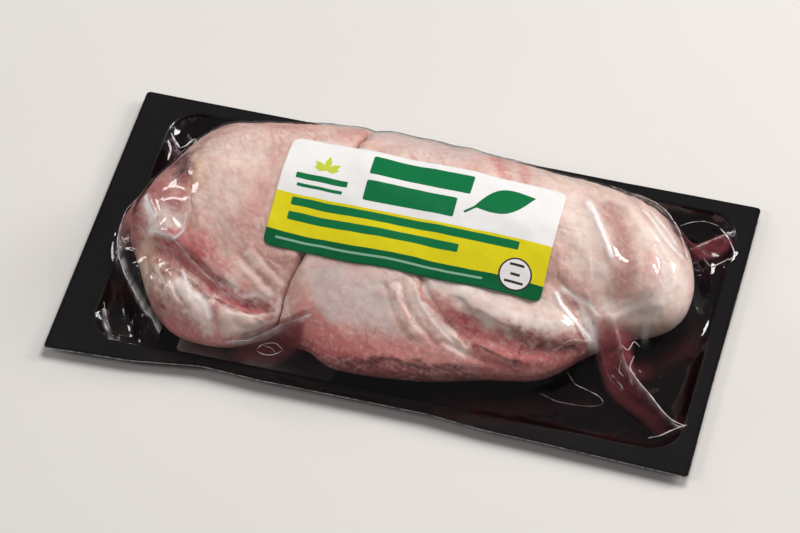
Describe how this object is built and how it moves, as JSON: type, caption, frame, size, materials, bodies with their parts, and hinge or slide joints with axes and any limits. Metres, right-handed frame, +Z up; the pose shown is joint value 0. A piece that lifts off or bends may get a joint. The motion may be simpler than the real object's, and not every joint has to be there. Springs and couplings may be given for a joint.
{
  "type": "vacuum pack of raw turkey thighs",
  "caption": "Raw poultry thighs side by side, sealed under clear film on a shallow black tray web, with a soaker pad beneath and a printed label on top.",
  "frame": {"origin": "middle of the pack's outline in plan, at the level of the surface that the tray's floor rests on", "axes": "+X along the pack's long side towards the end with the round seal on the label, -Y towards the label's lower edge, +Z up"},
  "size_m": [0.3001, 0.1649, 0.0594],
  "materials": {
    "black_web": "glossy black thermoformed web, paler at its cut edge",
    "pad_paper": "damp grey-white fibre pad",
    "left_meat": "moist raw skin, fat and bared red muscle under tight film",
    "right_meat": "moist raw skin and a little bared muscle under tight film",
    "clear_film": "clear glossy barrier film, pleated at the ends",
    "label_print": "satin label with white, yellow-green and dark green bands"
  },
  "bodies": {
    "root": {"tray": "black_web", "pad": "pad_paper", "thigh_left": "left_meat", "thigh_right": "right_meat", "film": "clear_film", "label": "label_print"}
  },
  "joints": []
}
